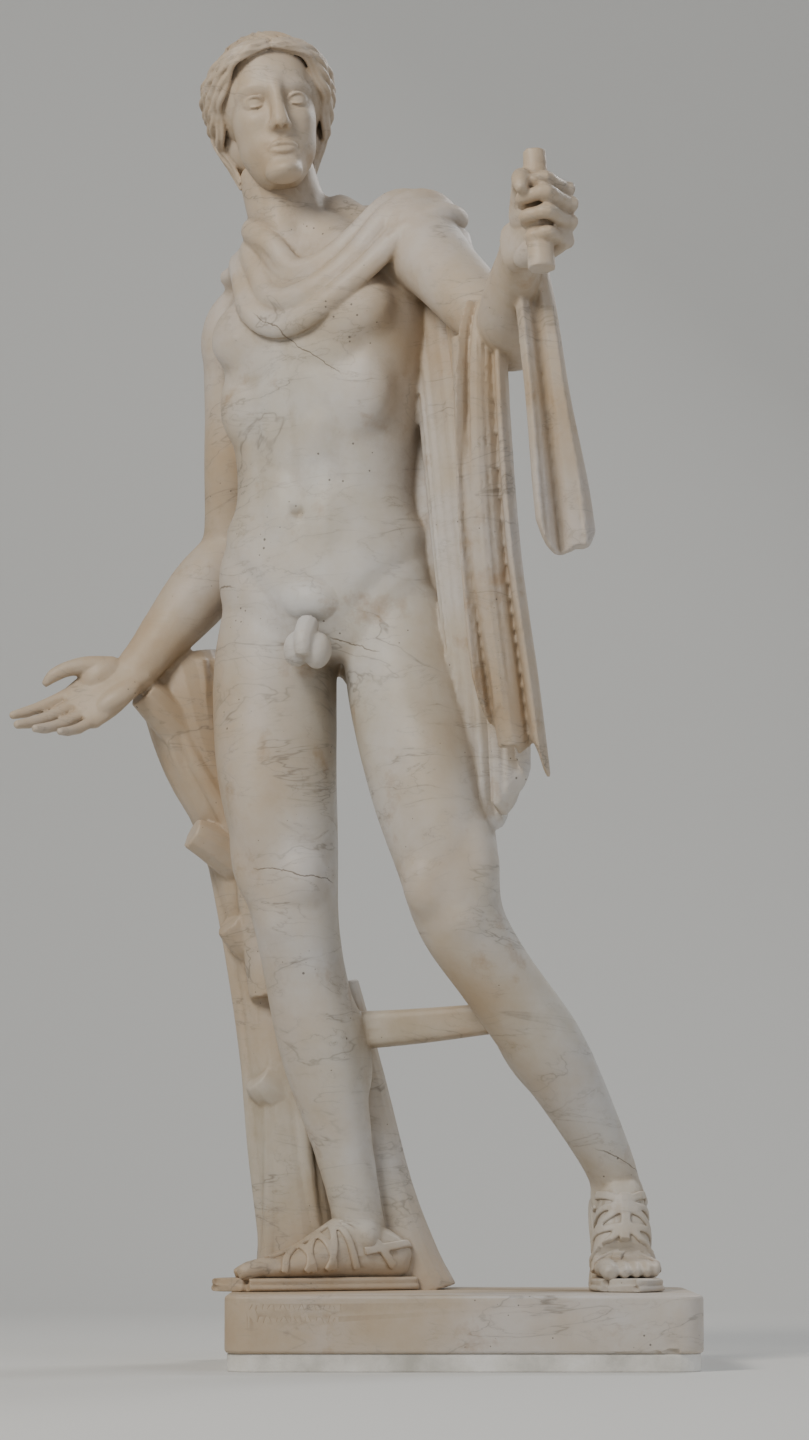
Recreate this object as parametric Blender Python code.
"""A marble statue of a standing youth with a cloak over one arm, carved with its tree trunk and plinth."""

import math

import bmesh
import bpy
import numpy as np
from mathutils import Matrix, Vector
from mathutils.bvhtree import BVHTree

# Driving dimensions, in metres.
FIGURE_HEIGHT = 2.077
PLINTH_WIDTH = 0.748
PLINTH_DEPTH = 0.580
PLINTH_HEIGHT = 0.090
PLINTH_CORNER = 0.045
PLINTH_EDGE = 0.006
BED_HEIGHT = 0.028
BED_MARGIN = 0.004
BED_EDGE = 0.002
GAP = 0.0003
STATUE_TRIANGLES = 9200

# The figure is set out in centimetres on a drawing of this height, counted from the plinth's top.
# Its x runs to the figure's left, and its front faces down the y axis.
DRAWN_HEIGHT = 207.7
CM = FIGURE_HEIGHT / DRAWN_HEIGHT
BODY_VOXEL, SKIN_VOXEL, LOST_THICKNESS = 0.8 * CM, 0.65 * CM, 0.3 * CM
FLOOR = BED_HEIGHT + GAP + PLINTH_HEIGHT
TO_METRES = Matrix.Translation((0, 0, FLOOR)) @ Matrix.Scale(CM, 4)


# Clay: closed forms that may overlap, fused later into one skin.


def unit(v):
    v = np.asarray(v, float)
    return v / np.maximum(np.linalg.norm(v, axis=-1, keepdims=True), 1e-9)


def spline(rows, t):
    """A smooth curve through the rows, read at each t from 0 to 1."""
    rows = np.asarray(rows, float)
    last = len(rows) - 1
    t = np.clip(np.asarray(t, float), 0, 1) * last
    i = np.minimum(t.astype(int), last - 1)
    f = (t - i)[..., None]
    before, start = rows[np.maximum(i - 1, 0)], rows[i]
    end, after = rows[i + 1], rows[np.minimum(i + 2, last)]
    bend_in = (f**3 - 2 * f**2 + f) * (end - before) / 2
    bend_out = (f**3 - f**2) * (after - start) / 2
    return start + (3 * f**2 - 2 * f**3) * (end - start) + bend_in + bend_out


def axes(across, front):
    """A turn whose x runs along across and whose y runs along front."""
    across, front = unit(across), np.asarray(front, float)
    front = unit(front - across * np.dot(across, front))
    return Matrix([across, front, np.cross(across, front)]).transposed().to_4x4()


def bent_grid(clay, around, along, place):
    """A closed form: a flat grid bent round by place(u, t), joined at its seam and closed at both ends."""
    made = bmesh.ops.create_grid(clay, x_segments=around, y_segments=along, size=0.5)["verts"]
    flat = np.array([v.co for v in made]) + 0.5
    for vertex, co in zip(made, place(flat[:, 0], flat[:, 1])):
        vertex.co = co
    bmesh.ops.remove_doubles(clay, verts=made, dist=1e-4)
    bmesh.ops.edgeloop_fill(clay, edges=[e for e in clay.edges if e.is_boundary])
    bmesh.ops.recalc_face_normals(clay, faces=clay.faces)


def ring(u, squareness=2.0):
    """Cosine and sine round a ring, or round a squarer outline when squareness is above 2."""
    c, s = np.cos(2 * math.pi * u), np.sin(2 * math.pi * u)
    return np.sign(c) * np.abs(c) ** (2 / squareness), np.sign(s) * np.abs(s) ** (2 / squareness)


def along_limb(rows, t, front=None):
    """Centre, side, front and onward directions of a limb at t.

    Each row is (x, y, z, half width, front depth, back depth, yaw of its front)."""
    row = spline(rows, t)
    step = 0.02 / len(rows)
    onward = unit(spline(rows, t + step)[..., :3] - spline(rows, t - step)[..., :3])
    if front is None:
        yaw = np.radians(row[..., 6])
        hint = np.stack([-np.sin(yaw), -np.cos(yaw), 0 * yaw], axis=-1)
    else:
        hint = np.broadcast_to(np.asarray(front, float), onward.shape)
    ahead = unit(hint - (hint * onward).sum(-1, keepdims=True) * onward)
    return row, np.cross(onward, ahead), ahead, onward


def limb(clay, rows, around=20, per_row=4, squareness=2.0, front=None):
    """A limb lofted through its rows."""
    rows = np.array(rows, float)

    def place(u, t):
        row, side, ahead, _ = along_limb(rows, t, front)
        c, s = ring(u, squareness)
        depth = np.where(s > 0, row[:, 4], row[:, 5]) * s
        return row[:, :3] + side * (c * row[:, 3])[:, None] + ahead * depth[:, None]

    bent_grid(clay, around, per_row * (len(rows) - 1), place)


def cord(clay, rows, around=10, per_row=4):
    """A round form through rows of (x, y, z, radius)."""
    rows = np.array(rows, float)
    rows = np.column_stack([rows[:, :3], rows[:, 3], rows[:, 3], rows[:, 3]])
    limb(clay, rows, around, per_row, front=(0.31, -0.92, 0.24))


def lump(clay, centre, radii, across=(1, 0, 0), front=(0, 1, 0), detail=3):
    """An egg of clay with its three radii along across, along front and along what is square to both."""
    place = Matrix.Translation(centre) @ axes(across, front) @ Matrix.Diagonal([*radii, 1])
    bmesh.ops.create_icosphere(clay, subdivisions=detail, radius=1, matrix=place)


def set_in(clay, form, place):
    """Puts a form that was modelled in its own axes into the clay."""
    mesh = bpy.data.meshes.new("form")
    form.to_mesh(mesh)
    form.free()
    mesh.transform(place)
    clay.from_mesh(mesh)
    bpy.data.meshes.remove(mesh)
    bmesh.ops.recalc_face_normals(clay, faces=clay.faces)


def fused(clay, name, voxel, smoothing, swell=0.0):
    """The clay's outer skin as one closed mesh in metres, softened and with its lost thickness put back."""
    mesh = bpy.data.meshes.new(name)
    clay.to_mesh(mesh)
    clay.free()
    mesh.transform(TO_METRES)
    form = bpy.data.objects.new(name, mesh)
    bpy.context.scene.collection.objects.link(form)
    skin = form.modifiers.new("One skin", "REMESH")
    skin.mode = "VOXEL"
    skin.voxel_size = voxel
    soften = form.modifiers.new("Soft creases", "SMOOTH")
    soften.factor = 0.5
    soften.iterations = smoothing
    if swell:
        fill = form.modifiers.new("Lost thickness", "DISPLACE")
        fill.strength = swell
        fill.mid_level = 0
    result = bpy.data.meshes.new_from_object(form.evaluated_get(bpy.context.evaluated_depsgraph_get()))
    bpy.data.objects.remove(form)
    return result


# The body.

SPINE = np.array([
    # height, centre x and y, yaw of its front in degrees, rise towards its left side
    (103, -21.6, 2.0, 15, -0.12),
    (112, -21.6, 2.0, 16, -0.12),
    (121, -21.8, 2.4, 20, -0.08),
    (129, -21.8, 3.0, 25, -0.02),
    (140, -21.8, 2.9, 30, 0.03),
    (149, -21.6, 2.6, 33, 0.08),
    (158, -21.6, 2.7, 35, 0.12),
    (166, -22.4, 3.2, 35, 0.14),
    (176, -26.0, 3.6, 28, 0.09),
], float)
TORSO = np.array([
    # height, half width, front depth, back depth
    (103, 13.5, 7.5, 10.5),
    (108, 17.0, 10.2, 12.5),
    (114, 18.4, 11.2, 12.0),
    (121, 17.2, 11.2, 10.4),
    (128, 15.4, 10.8, 9.8),
    (135, 15.4, 11.0, 10.2),
    (143, 16.8, 11.8, 11.2),
    (151, 18.2, 12.4, 12.2),
    (158, 18.6, 12.2, 12.6),
    (164, 17.6, 10.2, 12.0),
    (169, 14.0, 7.8, 10.2),
    (173, 9.6, 6.8, 8.8),
    (176, 7.0, 6.2, 7.4),
], float)


def torso_axes(z):
    """Centre, left direction and front direction of the body at drawn height z."""
    x, y, yaw, rise = (np.interp(z, SPINE[:, 0], SPINE[:, k]) for k in (1, 2, 3, 4))
    yaw = np.radians(yaw)
    centre = np.stack([x, y, np.asarray(z, float)], axis=-1)
    left = np.stack([np.cos(yaw), -np.sin(yaw), rise], axis=-1)
    ahead = np.stack([-np.sin(yaw), -np.cos(yaw), 0 * yaw], axis=-1)
    return centre, left, ahead


def torso(side, front, z):
    """A point of the body: side is towards its own left, front is forwards."""
    centre, left, ahead = torso_axes(z)
    return centre + left * np.asarray(side, float)[..., None] + ahead * np.asarray(front, float)[..., None]


def torso_lumps(clay, side, front, z, radii):
    """A lump on each side of the body."""
    _, left, ahead = torso_axes(z)
    for sign in (1, -1):
        lump(clay, torso(side * sign, front, z), radii, across=left, front=ahead)


def body_clay(clay):
    """Chest, belly, back and seat, with the slopes from the neck to the shoulders."""

    def place(u, t):
        row = spline(TORSO, t)
        c, s = ring(u, 2.35)
        return torso(c * row[:, 1], np.where(s > 0, row[:, 2], row[:, 3]) * s, row[:, 0])

    bent_grid(clay, 40, 36, place)
    torso_lumps(clay, 8.6, 8.0, 157.4, (9.2, 4.9, 7.0))      # chest muscle
    torso_lumps(clay, 8.4, 7.2, 145.6, (8.0, 4.3, 8.6))      # rib arch
    torso_lumps(clay, 3.9, 8.7, 142.0, (4.0, 3.2, 9.0))      # belly muscle
    torso_lumps(clay, 3.6, 8.4, 124.5, (4.9, 3.3, 9.0))      # lower belly
    torso_lumps(clay, 11.2, -0.6, 123.0, (6.2, 8.6, 4.8))    # muscle over the hip bone
    torso_lumps(clay, 13.6, -5.6, 151.0, (5.0, 6.4, 14.0))   # side of the back
    torso_lumps(clay, 8.8, -9.2, 158.0, (6.6, 3.9, 8.8))     # shoulder blade
    torso_lumps(clay, 4.0, -7.9, 133.0, (3.7, 2.9, 15.0))    # muscle beside the spine
    torso_lumps(clay, 8.2, -8.0, 106.5, (8.8, 8.4, 10.4))    # seat
    for side in (1, -1):
        limb(clay, [  # slope from the neck to the shoulder
            (*torso(side * 3.2, -3.2, 178), 3.6, 3.6, 3.6, 27),
            (*torso(side * 9.4, -3.4, 171.8), 4.0, 4.6, 4.4, 27),
            (*torso(side * 17.0, -2.0, 167.6), 4.2, 4.6, 4.6, 27),
        ])
        cord(clay, [  # collar bone
            (*torso(side * 2.2, 6.2, 169.4), 1.3),
            (*torso(side * 9.5, 5.6, 170.4), 1.2),
            (*torso(side * 17.4, 1.6, 170.0), 1.5),
        ])


def neck_clay(clay):
    limb(clay, [
        (-24.6, 4.4, 166.0, 7.8, 7.0, 7.8, 20),
        (-26.6, 3.8, 172.0, 6.8, 6.6, 7.3, 12),
        (-29.0, 3.2, 178.5, 6.4, 6.2, 7.2, 4),
        (-31.0, 3.0, 186.0, 6.0, 5.8, 7.4, -4),
    ])
    cord(clay, [(-26.4, -3.0, 168.6, 1.4), (-30.4, -1.8, 175.0, 1.5), (-35.0, 3.4, 184.4, 1.3)])
    cord(clay, [(-24.0, -3.0, 169.0, 1.4), (-24.2, -1.8, 175.5, 1.5), (-27.4, 3.4, 185.0, 1.3)])


SHOULDERS = {"right": torso(-18.4, -1.6, 163.0), "left": torso(18.6, 1.0, 169.6)}
UPPER_ARM, FOREARM = 38.0, 28.5
UPPER_WAY = {"right": unit((-0.05, 0.12, -0.99)), "left": unit((0.42, -0.68, -0.60))}
FOREARM_WAY = {"right": unit((-0.56, -0.34, -0.75)), "left": unit((0.03, -0.93, 0.36))}
ELBOWS = {side: SHOULDERS[side] + UPPER_ARM * UPPER_WAY[side] for side in SHOULDERS}
WRISTS = {side: ELBOWS[side] + FOREARM * FOREARM_WAY[side] for side in SHOULDERS}
# The hands' own axes: towards the thumb, along the fingers, out of the palm.
FINGERS_WAY = {"right": unit((-0.80, -0.22, -0.56)), "left": unit((0.50, -0.84, 0.20))}
PALM_WAY = {"right": unit((-0.30, -0.90, 0.32)), "left": unit((-0.84, -0.50, 0.06))}
HAND_SIZE = {"right": 1.06, "left": 1.2}


def arm_clay(clay, side, yaw):
    shoulder, elbow, wrist = SHOULDERS[side], ELBOWS[side], WRISTS[side]
    palm = math.degrees(math.atan2(-PALM_WAY[side][0], -PALM_WAY[side][1]))

    def between(a, b, rows, turn):
        return [(*(a + (b - a) * share), *sizes, turn) for share, *sizes in rows]

    limb(clay, between(shoulder, elbow, [
        (-0.08, 5.4, 5.6, 5.6), (0.14, 6.3, 6.4, 6.4), (0.40, 5.6, 6.3, 6.0),
        (0.62, 5.3, 6.1, 5.6), (0.84, 4.9, 5.0, 4.9), (1.02, 5.0, 4.5, 4.9),
    ], yaw))
    limb(clay, between(elbow, wrist, [
        (-0.07, 4.6, 4.4, 4.5), (0.12, 5.3, 5.2, 5.2), (0.32, 5.6, 5.3, 5.1),
        (0.60, 4.8, 4.2, 4.1), (0.84, 3.9, 3.1, 3.1), (1.03, 3.7, 2.6, 2.6),
    ], palm))
    way = UPPER_WAY[side]
    lump(clay, shoulder + way * 2.6, (9.4, 7.0, 7.0), across=way, front=(0, -1, 0))
    lump(clay, shoulder + way * 20 + np.array((0, -1.6, 0)), (9.0, 4.6, 4.4), across=way, front=(0, -1, 0))


LEGS = {
    "right": [
        (-29.6, 4.6, 114.0, 8.6, 8.6, 9.6, 15),
        (-30.6, 3.9, 101.0, 9.9, 10.0, 10.4, 18),
        (-30.2, 2.4, 85.0, 9.6, 10.1, 9.7, 22),
        (-28.4, 1.2, 71.0, 8.2, 8.6, 8.1, 28),
        (-27.0, 0.6, 60.0, 6.9, 6.6, 6.7, 32),
        (-25.8, 2.6, 50.5, 6.4, 5.5, 7.6, 36),
        (-23.4, 4.8, 38.5, 6.6, 5.2, 8.0, 42),
        (-19.8, 6.3, 24.0, 4.7, 4.3, 5.4, 50),
        (-17.2, 6.8, 13.0, 3.7, 4.1, 4.3, 56),
        (-16.4, 6.7, 6.0, 3.9, 4.6, 4.8, 60),
    ],
    "left": [
        (-10.6, -0.6, 111.0, 8.6, 8.6, 9.6, 8),
        (-8.6, -3.6, 98.0, 9.9, 10.0, 10.2, 6),
        (-5.4, -7.2, 82.0, 9.5, 9.9, 9.6, 3),
        (-2.4, -9.8, 69.0, 8.1, 8.4, 8.0, 0),
        (-0.3, -10.6, 59.5, 6.9, 6.5, 6.7, -4),
        (5.4, -7.9, 50.5, 6.1, 5.5, 7.4, -7),
        (13.8, -3.2, 39.0, 6.1, 5.2, 7.6, -9),
        (20.8, 3.0, 27.0, 4.7, 4.3, 5.2, -11),
        (24.9, 7.0, 18.5, 3.8, 4.0, 4.2, -12),
        (25.8, 8.2, 13.0, 3.9, 4.3, 4.5, -12),
    ],
}


def leg_clay(clay, name):
    rows = np.array(LEGS[name], float)
    limb(clay, rows, around=24)
    outward = -1 if name == "right" else 1

    def leg_lump(row, out, ahead, radii):
        """A lump beside the limb's axis at a row's number: out from the other leg, and ahead of the axis."""
        place, side, front, onward = along_limb(rows, np.array(row / (len(rows) - 1)))
        left = np.array((math.cos(math.radians(place[6])), -math.sin(math.radians(place[6])), 0))
        side = side * np.sign(np.dot(side, left)) * outward
        lump(clay, place[:3] + side * out + front * ahead, radii, across=side, front=front)

    leg_lump(4.0, 0.0, 4.6, (3.2, 2.6, 3.8))      # knee cap
    leg_lump(3.35, -4.0, 3.2, (3.9, 4.6, 6.4))    # inner thigh above the knee
    leg_lump(3.0, 3.6, 3.0, (4.4, 5.2, 9.5))      # outer thigh
    leg_lump(2.0, 0.6, 4.6, (6.6, 6.0, 19.0))     # front of the thigh
    leg_lump(1.6, -3.4, -1.0, (6.4, 7.0, 13.0))   # inner thigh
    leg_lump(6.0, -2.4, -4.1, (3.6, 4.4, 10.0))   # calf, inner
    leg_lump(5.8, 2.9, -4.1, (3.7, 4.1, 9.0))     # calf, outer
    leg_lump(8.7, 3.4, 0.3, (1.5, 1.7, 2.2))      # ankle bones
    leg_lump(8.55, -3.4, 0.5, (1.6, 1.8, 2.4))


def groin_clay(clay):
    """Plain small forms, as on a classical marble."""
    place = torso(0, 11.4, 107.5)
    _, left, ahead = torso_axes(107.5)
    for out in (-1.7, 1.7):
        low = place + left * out + ahead * 1.2 + (0, 0, -4.4)
        lump(clay, low, (2.3, 2.4, 3.0), across=left, front=ahead)
    middle, tip = place + ahead * 3.2 + (0, 0, -2.6), place + ahead * 3.6 + (0, 0, -5.6)
    cord(clay, [(*(place + ahead * 0.6), 1.9), (*middle, 1.75), (*tip, 1.3)])
    lump(clay, torso(0, 9.2, 111.5), (5.6, 3.6, 3.8), across=left, front=ahead)


# Head, hands and feet, each in its own axes.

HEAD_PLACE = (
    Matrix.Translation((-31.4, 0.2, 193.2))
    @ Matrix.Rotation(math.radians(7), 4, "Z")
    @ Matrix.Rotation(math.radians(-7), 4, "Y")
    @ Matrix.Rotation(math.radians(-4), 4, "X")
)


HAIRLINE = [
    (0.1, -9.2, 8.4), (3.2, -9.0, 8.1), (6.0, -7.3, 6.4), (7.6, -4.6, 3.4),
    (8.1, -1.8, 0.4), (8.0, 1.4, -2.8), (7.2, 3.6, -5.6),
]
SKULL_TOP = np.array((0, 1.2, 3.6))
SKULL_RADII = np.array((9.3, 11.1, 10.5))
FACE_ROWS = [
    # height, half width, front depth
    (9.5, 5.8, 5.9), (7.5, 6.6, 6.8), (5.0, 7.0, 7.3), (2.6, 7.15, 7.7),
    (0.6, 7.05, 7.0), (-2.4, 6.95, 7.1), (-4.5, 6.6, 7.2), (-6.5, 6.2, 7.35),
    (-8.5, 5.7, 7.5), (-10.4, 4.9, 7.4), (-12.2, 3.7, 7.7), (-13.4, 2.2, 6.6),
]


def on_skull(around, share, rise=0.0):
    """A place on the hair: around the head from the front, and down from the crown to the band."""
    tilt = share * np.radians(80 - 22 * np.cos(around))
    way = np.stack([np.sin(tilt) * np.sin(around), -np.sin(tilt) * np.cos(around), np.cos(tilt)], axis=-1)
    return SKULL_TOP + (SKULL_RADII + rise) * way


def hair_clay(form, locks, nape_locks, crown_locks):
    """Locks swept back from a centre parting to a plain band, with combed locks on the crown and nape."""
    t = np.linspace(0, 1, 9)
    c = t[:, None]
    lump(form, SKULL_TOP, SKULL_RADII)
    lump(form, (0, 4.4, -2.8), (8.6, 7.4, 7.4))
    for side in (1, -1):
        mirror = np.array((side, 1, 1))
        for k in range(locks):
            share = (k + 0.5) / locks
            start, end = spline(HAIRLINE, share), on_skull(math.pi * (0.04 + 0.72 * share), 1.0)
            outward = unit((start + end) / 2 - SKULL_TOP)
            drift = unit(spline(HAIRLINE, share + 0.03) - spline(HAIRLINE, share - 0.03))
            line = start * (1 - c) + end * c
            line = line + outward * 1.5 * np.sin(math.pi * c) + drift * 0.8 * np.sin(2 * math.pi * c)
            size = 1.3 * np.sin(math.pi * (0.12 + 0.76 * t)) ** 0.6
            cord(form, np.column_stack([line * mirror, size]), per_row=1)
        for k in range(nape_locks):
            a = math.radians(104 + 76 * (k + 0.5) / nape_locks)
            low = np.array((6.2 * math.sin(a), 2.0 - 6.8 * math.cos(a), -10.4))
            outward = np.array((math.sin(a), -math.cos(a), 0))
            line = on_skull(a, 0.98, 0.3) * (1 - c) + low * c + outward * 1.7 * np.sin(math.pi * c)
            cord(form, np.column_stack([line * mirror, 1.35 - 0.5 * t]), per_row=1)
    for k in range(crown_locks):
        around = 2 * math.pi * (k + 0.5) / crown_locks
        swing = around + 0.16 * np.sin(2 * math.pi * t) + 0.25 * t
        cord(form, np.column_stack([on_skull(swing, 0.10 + 0.90 * t), 0.5 + 0.7 * t]), per_row=1)
    band = on_skull(np.linspace(0, 2 * math.pi, 33), 1.0, 0.45)
    cord(form, np.column_stack([band, np.full(33, 0.8)]), around=10, per_row=2)


def head_form():
    """Origin at the eye line; its front faces down its y axis."""
    form = bmesh.new()
    lump(form, (0, 0.8, 3.0), (7.9, 10.5, 9.8))
    rows = [(0, -3, z, half, depth, 5) for z, half, depth in FACE_ROWS]
    limb(form, rows, around=32, per_row=2, squareness=2.15, front=(0, -1, 0))
    limb(form, [  # nose
        (0, -10.0, 4.2, 1.4, 0.7, 2), (0, -10.4, 1.8, 1.2, 0.95, 3), (0, -10.9, -0.8, 1.2, 1.2, 3),
        (0, -11.7, -3.9, 1.5, 1.3, 3.4), (0, -11.7, -4.9, 1.4, 1.1, 3.4), (0, -11.0, -5.6, 1.0, 0.5, 3),
    ], front=(0, -1, 0))
    lump(form, (0, -8.6, -12.2), (3.4, 3.0, 2.2))
    lump(form, (0, -10.1, -7.8), (2.5, 1.0, 0.75))
    lump(form, (0, -10.0, -9.0), (2.2, 1.0, 0.75))
    for side in (1, -1):
        cord(form, [
            (side * 1.2, -9.9, 2.4, 0.75), (side * 3.2, -9.7, 2.8, 0.8), (side * 5.2, -8.5, 2.5, 0.8),
            (side * 6.6, -6.6, 1.4, 0.7),
        ])
        lump(form, (side * 3.4, -9.3, -0.1), (1.4, 0.7, 0.6))
    hair_clay(form, 8, 4, 18)
    return form


def finger(form, base, lengths, radius, spread, curls):
    """A finger from its knuckle, spread sideways by one angle and curled towards the palm at each joint."""
    point = np.array(base, float)
    rows, bend = [], 0
    for k, (length, curl) in enumerate(zip(lengths, curls)):
        bend += curl
        level, tilt = math.radians(spread), math.radians(bend)
        way = np.array((math.sin(level) * math.cos(tilt), math.cos(level) * math.cos(tilt), math.sin(tilt)))
        rows.append((*point, radius * (1.0 - 0.09 * k)))
        rows.append((*(point + way * length / 2), radius * (0.92 - 0.09 * k)))
        point = point + way * length
    rows.append((*point, radius * 0.62))
    cord(form, rows, around=10, per_row=2)
    lump(form, rows[-1][:3], [radius * 0.66] * 3, detail=2)


def hand_form(closed):
    """Origin at the wrist: x towards the thumb, y along the fingers, z out of the palm."""
    form = bmesh.new()
    limb(form, [
        (0, -1.5, 0, 3.3, 2.2, 2.2), (0, 1.5, 0, 3.5, 2.2, 2.0), (0.2, 5, 0, 4.5, 2.0, 1.8),
        (0, 8.5, 0, 4.7, 1.6, 1.5), (-0.1, 11, 0, 4.4, 1.1, 1.1),
    ], front=(0, 0, 1), squareness=2.6)
    lump(form, (2.6, 4.2, 1.2), (2.3, 3.6, 1.9))
    lump(form, (-2.8, 4.6, 1.0), (1.8, 4.2, 1.6))
    curls = (62, 85, 62) if closed else None
    for x, y, lengths, radius, spread, open_curls in (
        (3.4, 10.4, (4.3, 2.9, 2.2), 1.12, 7, (4, 10, 8)),
        (1.2, 10.9, (4.7, 3.2, 2.3), 1.15, 2, (10, 14, 10)),
        (-1.1, 10.6, (4.3, 3.0, 2.2), 1.1, -3, (16, 16, 12)),
        (-3.3, 9.7, (3.5, 2.4, 2.0), 0.98, -9, (20, 16, 12)),
    ):
        finger(form, (x, y, 0), lengths, radius, 0 if closed else spread, curls or open_curls)
    if closed:
        thumb = [
            (2.6, 2.5, 1.2, 1.7), (4.9, 6.0, 3.0, 1.5), (4.6, 9.0, 5.0, 1.3), (3.2, 10.8, 6.4, 1.15),
            (1.9, 11.6, 6.9, 0.8),
        ]
        cord(form, [(-7.5, 9.2, 3.0, 1.75), (8.5, 9.2, 3.0, 1.45)], around=14)
    else:
        thumb = [
            (2.4, 2.2, 0.9, 1.9), (4.6, 5.4, 2.0, 1.6), (5.7, 8.2, 2.6, 1.25), (6.1, 10.6, 2.6, 1.1),
            (6.0, 12.2, 2.2, 0.7),
        ]
    cord(form, thumb)
    lump(form, thumb[-1][:3], [thumb[-1][3]] * 3, detail=2)
    return form


def hand_place(side):
    fingers, palm = FINGERS_WAY[side], PALM_WAY[side]
    palm = unit(palm - fingers * np.dot(fingers, palm))
    thumb = np.cross(fingers, palm) * (1 if side == "right" else -1)
    turn = Matrix([thumb, fingers, palm]).transposed().to_4x4()
    return Matrix.Translation(WRISTS[side]) @ turn @ Matrix.Scale(HAND_SIZE[side], 4)


BALL_Y = 13.5


def foot_form(inner, heel_lift=0):
    """Origin under the ankle: y towards the toes, z up. The big toe is on the side given by inner."""
    form = bmesh.new()
    limb(form, [
        (0, -7.8, 4.6, 2.4, 2.0, 2.4), (0, -6.2, 5.0, 3.5, 3.6, 3.2), (0, -2.5, 5.4, 3.9, 5.4, 3.6),
        (0, 1.0, 5.8, 4.0, 6.4, 4.0), (0, 5.0, 5.2, 4.2, 5.2, 3.4), (inner * 0.4, 9.0, 4.6, 4.7, 3.4, 2.8),
        (inner * 0.3, 13.0, 4.0, 5.2, 2.2, 2.2),
        (0, 17.5, 3.5, 5.1, 1.5, 1.7), (0, 19.0, 3.3, 4.6, 1.2, 1.5),
    ], front=(0, 0, 1), squareness=2.4, around=24)
    for out, start, end, radius in (
        (3.5, 17.4, 22.6, 1.55), (1.1, 17.8, 22.4, 1.15), (-0.9, 17.6, 21.6, 1.1), (-2.8, 17.0, 20.6, 1.05),
        (-4.4, 16.0, 19.2, 1.0),
    ):
        x = inner * out
        cord(form, [
            (x, start - 2, 3.6, radius), (x, start + 1, 3.9, radius),
            (x * 0.96, end - 1.2, 3.2, radius * 0.95), (x * 0.94, end, 2.9, radius * 0.6),
        ])
    limb(form, [  # the sandal's sole
        (0, -9.2, 1, 2.6, 1.2, 1.0), (0, -8.2, 1, 3.8, 1.2, 1.0), (0, -3, 1, 4.4, 1.2, 1.0),
        (inner * 0.2, 5, 1, 4.5, 1.2, 1.0), (inner * 0.2, 12, 1, 5.6, 1.2, 1.0), (0, 18, 1, 5.9, 1.2, 1.0),
        (inner * 0.8, 22.4, 1, 4.4, 1.2, 1.0), (inner * 1.6, 23.8, 1, 2.8, 1.2, 1.0),
    ], front=(0, 0, 1), squareness=5, around=24)
    if heel_lift:
        for vertex in form.verts:
            behind = max(BALL_Y + 1.5 - vertex.co.y, 0)
            lift = math.radians(heel_lift) * min(behind / 5, 1)
            dy, dz = vertex.co.y - BALL_Y, vertex.co.z
            vertex.co.y = BALL_Y + dy * math.cos(lift) + dz * math.sin(lift)
            vertex.co.z = dz * math.cos(lift) - dy * math.sin(lift)
    return form


def foot_place(x, y, toes):
    toes = unit((*toes, 0))
    return Matrix.Translation((x, y, 0)) @ axes((toes[1], -toes[0], 0), toes)


# The cloak.

NECK_SIDE = [(-32.0, 9.5, 176), (-33.2, 4.0, 175.5), (-32.6, -3.0, 171.5), (-30.0, -8.6, 167.5),
             (-23.0, -11.0, 169.0), (-14.5, -10.0, 175), (-7.5, -5.0, 180.0), (0.0, -1.5, 180.0)]
OUTER_SIDE = [(-35.6, 13.0, 170), (-37.2, 6.5, 169.5), (-37.0, -3.0, 163), (-34.4, -10.5, 156.5),
              (-26.0, -14.5, 157.5), (-14.0, -14.5, 165.5), (-4.0, -12.5, 172.5), (3.5, -9.0, 175.5)]
BACK_NECK = [(-32.0, 9.0, 176.5), (-26.0, 12.5, 178), (-17.0, 10.0, 178.5), (-9.0, 3.0, 179.5),
             (-1.0, -1.0, 179.5)]
BACK_OUTER = [(-35.6, 13.0, 170), (-30.0, 19.0, 166), (-19.0, 18.0, 166), (-8.0, 9.5, 170), (1.0, 3.0, 172)]


def laid_on(tree, points, rise):
    """The points brought to the body's surface and raised from it."""
    placed = []
    for p in points:
        place, normal, _, _ = tree.find_nearest(TO_METRES @ Vector(p))
        placed.append(np.array(TO_METRES.inverted() @ (place + normal * rise * CM)))
    return np.array(placed)


def eased(line, times):
    """A line with its kinks taken out; its two ends stay."""
    for _ in range(times):
        line[1:-1] = (line[:-2] + 2 * line[1:-1] + line[2:]) / 4
    return line


def swathe(clay, tree, inner, outer, folds, radius):
    """Folds of cloth lying side by side on the body, between an inner and an outer line."""
    t = np.linspace(0, 1, 22)
    for k in range(folds):
        share = k / (folds - 1)
        line = spline(inner, t) * (1 - share) + spline(outer, t) * share
        size = radius * (0.85 + 0.25 * math.sin(2.4 * k + 0.6))
        line = eased(laid_on(tree, line, size * 0.55), 4)
        cord(clay, np.column_stack([line, np.full(len(t), size)]), around=10, per_row=1)


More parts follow.
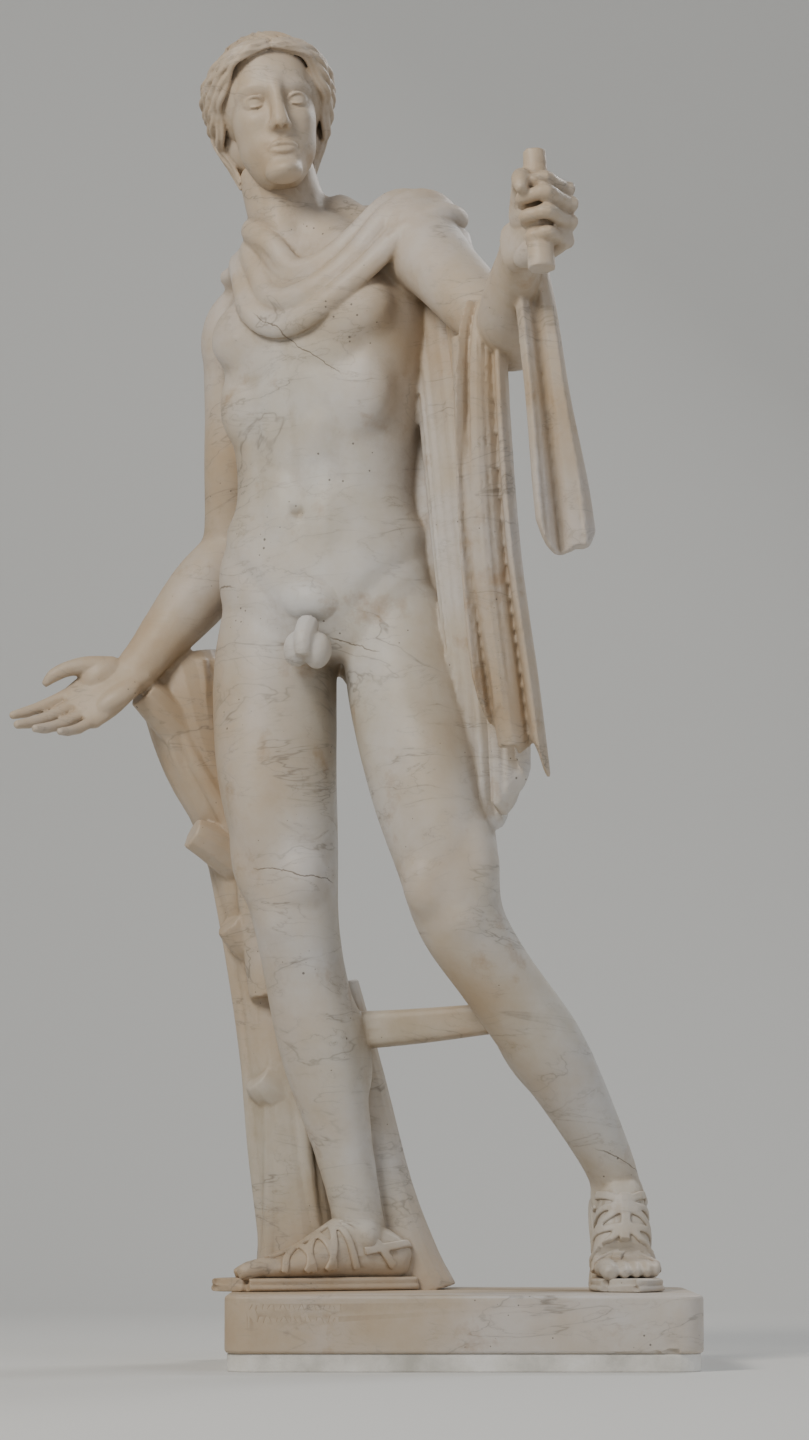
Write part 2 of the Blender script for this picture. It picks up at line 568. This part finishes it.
def fall(clay, rows, pleats, depth, hem, thick=1.3, around=96, along=26):
    """Hanging cloth. Each row is (x, y, z, half width, yaw of its front); hem(s) lifts its lower edge."""
    rows = np.array(rows, float)

    def place(u, t):
        s = 1 - np.abs(2 * u - 1)
        outside = np.where(u < 0.5, 1.0, -1.0)
        t = t * (1 - hem(s))
        row = spline(rows, t)
        yaw = np.radians(row[:, 4])
        across = np.stack([np.cos(yaw), -np.sin(yaw), 0 * yaw], axis=1)
        front = np.stack([-np.sin(yaw), -np.cos(yaw), 0 * yaw], axis=1)
        turn = 2 * math.pi * pleats * s + 0.9 * np.sin(2 * math.pi * s) + 0.5 * t
        wave = np.sin(turn) + 0.35 * np.sin(2 * turn + 1.0)
        end = np.clip(1 - np.abs(2 * s - 1) ** 10, 0, 1) ** 0.5
        out = depth * (0.45 + 0.55 * t) * wave * np.where(outside > 0, 1, 0.55)
        out = out + outside * thick * (0.35 + 0.65 * end)
        slide = (2 * s - 1) + 0.05 * np.cos(turn)
        return row[:, :3] + across * (slide * row[:, 3])[:, None] + front * out[:, None]

    bent_grid(clay, around, along, place)


def cloak_clay(clay, tree):
    swathe(clay, tree, NECK_SIDE, OUTER_SIDE, 6, 1.75)
    swathe(clay, tree, BACK_NECK, BACK_OUTER, 6, 1.9)
    elbow, wrist = ELBOWS["left"], WRISTS["left"]
    crook = elbow + (wrist - elbow) * 0.16
    # front fall, from the crook of the left arm
    fall(clay, [
        (*(crook + (-3.4, 2.4, 5.0)), 3.6, 24),
        (crook[0] - 4.6, crook[1] - 0.4, crook[2] - 3.0, 4.0, 20),
        (crook[0] - 4.4, crook[1] + 1.6, 132, 4.6, 14),
        (crook[0] - 3.2, crook[1] + 5.0, 114, 5.0, 10),
        (crook[0] - 1.0, crook[1] + 8.0, 96, 5.4, 6),
        (crook[0] + 1.2, crook[1] + 10.0, 80, 5.2, 4),
    ], 2.6, 1.15, lambda s: 0.01 + 0.14 * (1 - s) + 0.03 * np.sin(5 * math.pi * s), thick=2.0)
    # the cloth that runs back from it, inside the cloak
    limb(clay, [
        (crook[0] - 6.0, crook[1] + 8.0, 150, 2.4, 8.0, 6.0, 20),
        (crook[0] - 5.0, crook[1] + 9.0, 128, 2.8, 8.0, 6.0, 16),
        (crook[0] - 2.6, crook[1] + 11.0, 106, 2.8, 7.0, 6.0, 10),
        (crook[0] + 0.4, crook[1] + 12.0, 86, 2.4, 5.0, 5.0, 6),
    ])
    # back sheet, from the shoulder blade along the upper arm
    fall(clay, [
        (-5.0, -4.0, 172, 9.0, 60), (-4.0, -7.5, 158, 12.6, 58), (-1.6, -9.5, 138, 13.0, 56),
        (0.6, -11.0, 116, 12.0, 54), (2.8, -12.0, 94, 9.4, 46), (4.4, -13.0, 71, 6.6, 38),
    ], 3.0, 1.2, lambda s: 0.02 + 0.08 * (2 * s - 1) ** 2, thick=2.1)
    # outer tail, from the forearm near the wrist
    hang = elbow + (wrist - elbow) * 0.74
    fall(clay, [
        (*(hang + (1.2, 1.4, 3.4)), 3.0, -10),
        (hang[0] + 2.8, hang[1] + 1.0, hang[2] - 5, 3.2, -10),
        (hang[0] + 4.6, hang[1] + 2.4, 138, 3.6, -8),
        (hang[0] + 6.6, hang[1] + 4.0, 124, 4.6, -6),
        (hang[0] + 8.0, hang[1] + 5.0, 113, 4.8, -4),
    ], 1.7, 0.9, lambda s: 0.10 * (2 * s - 1) ** 2, thick=1.5)
    # cloth wrapped over the upper arm and the forearm
    shoulder = SHOULDERS["left"]
    for k in range(6):
        share = k / 5
        top = shoulder + (elbow - shoulder) * (0.10 + 0.3 * share) + (0, 0, 7.0 - 1.2 * share)
        back = shoulder + (elbow - shoulder) * (0.38 + 0.3 * share) + (4.8, 4.6 - 0.4 * k, 1.0)
        low = elbow + (wrist - elbow) * (0.02 + 0.10 * share) + (3.2, 3.0, -1.6 + 0.5 * k)
        over = elbow + (wrist - elbow) * (0.10 + 0.10 * share) + (-1.6, 0.4, 5.2)
        cord(clay, [(*top, 1.7), (*back, 2.0), (*low, 1.8), (*over, 1.6)])


# The supports.


def support_clay(clay):
    """The tree trunk, the web behind the ankle and the bar between the calves."""
    cord(clay, [
        (-25, 15, -2, 10.0), (-26, 15.5, 8, 7.6), (-28, 16, 24, 6.7), (-30.5, 17, 46, 6.3),
        (-34.0, 18, 64, 6.0), (-37.5, 18.5, 77, 6.4), (-42.5, 18.5, 88, 7.4), (-45.5, 18.5, 98, 7.8),
        (-47.0, 18.5, 105, 6.4),
    ], around=20)
    cord(clay, [(-42, 17, 88, 4.6), (-48, 13.5, 94, 3.6), (-52.5, 11, 98.5, 3.0)])  # stub by the hand
    cord(clay, [(-36, 15, 70, 4.0), (-41.5, 12.5, 73.5, 3.2), (-44.5, 11.5, 75.0, 2.7)])  # lower stub
    cord(clay, [(-30.5, 16, 54, 4.4), (-35.6, 13.5, 58, 3.6), (-38.2, 12.2, 60.4, 2.8)])  # knot
    cord(clay, [(-27, 15, 30, 4.6), (-31.6, 12.6, 33, 3.6), (-33.6, 11.6, 34.8, 2.7)])      # knot
    limb(clay, [  # stone left between the trunk and the thigh
        (-30.5, 13, 108, 3, 4, 4, 20), (-33, 12.5, 92, 4.5, 4, 4, 20), (-33, 12.0, 70, 4.5, 4, 4, 20),
        (-31, 11, 48, 4, 3.5, 4, 20),
    ])
    limb(clay, [
        (-22.0, 13.5, 50, 5.0, 3.6, 4.0, 20), (-19.0, 14.0, 34, 6.4, 4.0, 5.0, 20),
        (-16.0, 14.5, 16, 8.0, 4.6, 6.0, 20), (-13.5, 15.0, 4, 10.0, 5.4, 7.0, 20),
        (-12.0, 15.0, -2, 11.5, 5.6, 7.6, 20),
    ], around=20, squareness=2.8)
    limb(clay, [
        (-24.0, 11.0, 42.0, 2.8, 3.3, 3.3), (-8.0, 5.2, 42.8, 2.6, 2.9, 2.9),
        (11.0, -1.6, 44.6, 2.3, 2.3, 2.3),
    ], front=(0, 0, 1), squareness=4)


def statue_clay():
    """All of the carving, as overlapping clay."""
    clay = bmesh.new()
    body_clay(clay)
    neck_clay(clay)
    arm_clay(clay, "right", 20)
    arm_clay(clay, "left", 40)
    leg_clay(clay, "right")
    leg_clay(clay, "left")
    body = fused(clay, "body", BODY_VOXEL, 14, LOST_THICKNESS)
    tree = BVHTree.FromPolygons([v.co for v in body.vertices], [p.vertices for p in body.polygons])
    body.transform(TO_METRES.inverted())
    clay = bmesh.new()
    clay.from_mesh(body)
    bpy.data.meshes.remove(body)
    groin_clay(clay)
    set_in(clay, head_form(), HEAD_PLACE)
    set_in(clay, hand_form(False), hand_place("right"))
    set_in(clay, hand_form(True), hand_place("left"))
    set_in(clay, foot_form(-1), foot_place(-16.4, 6.7, (-0.92, -0.39)))
    set_in(clay, foot_form(1, 40), foot_place(25.2, 14.0, (0.08, -0.99)))
    cloak_clay(clay, tree)
    support_clay(clay)
    return clay


def block(name, width, depth, low, high, corner, edge):
    """A slab with rounded upright corners and softened rims."""
    slab = bmesh.new()
    place = Matrix.Translation((0, 0, (low + high) / 2)) @ Matrix.Diagonal((width, depth, high - low, 1))
    bmesh.ops.create_cube(slab, size=1, matrix=place)
    upright = [e for e in slab.edges if abs(e.verts[0].co.z - e.verts[1].co.z) > 1e-6]
    bmesh.ops.bevel(slab, geom=upright, offset=corner, segments=6, profile=0.5, affect="EDGES")
    rims = [e for e in slab.edges if len({abs(f.normal.z) > 0.5 for f in e.link_faces}) == 2]
    bmesh.ops.bevel(slab, geom=rims, offset=edge, segments=2, profile=0.5, affect="EDGES")
    mesh = bpy.data.meshes.new(name)
    slab.to_mesh(mesh)
    slab.free()
    made = bpy.data.objects.new(name, mesh)
    bpy.context.scene.collection.objects.link(made)
    return made


def stone(name, colour):
    material = bpy.data.materials.new(name)
    material.use_nodes = True
    shader = material.node_tree.nodes["Principled BSDF"]
    shader.inputs["Base Color"].default_value = (*colour, 1)
    shader.inputs["Roughness"].default_value = 0.5
    return material


def main():
    for old in list(bpy.data.objects):
        bpy.data.objects.remove(old)
    skin = fused(statue_clay(), "carving", SKIN_VOXEL, 3)
    carving = bpy.data.objects.new("carving", skin)
    bpy.context.scene.collection.objects.link(carving)
    facets = carving.modifiers.new("Facets", "DECIMATE")
    facets.ratio = STATUE_TRIANGLES / (2 * len(skin.polygons))
    carving.hide_render = True
    carving.display_type = "WIRE"
    statue = block("statue", PLINTH_WIDTH, PLINTH_DEPTH, BED_HEIGHT + GAP, FLOOR, PLINTH_CORNER, PLINTH_EDGE)
    whole = statue.modifiers.new("Carved with the plinth", "BOOLEAN")
    whole.operation = "UNION"
    whole.solver = "EXACT"
    whole.object = carving
    bed_width, bed_depth = PLINTH_WIDTH - 2 * BED_MARGIN, PLINTH_DEPTH - 2 * BED_MARGIN
    bed = block("bedding_slab", bed_width, bed_depth, 0, BED_HEIGHT, PLINTH_CORNER, BED_EDGE)
    statue.data.materials.append(stone("White marble", (0.60, 0.55, 0.46)))
    bed.data.materials.append(stone("Pale lime mortar", (0.66, 0.63, 0.58)))


main()
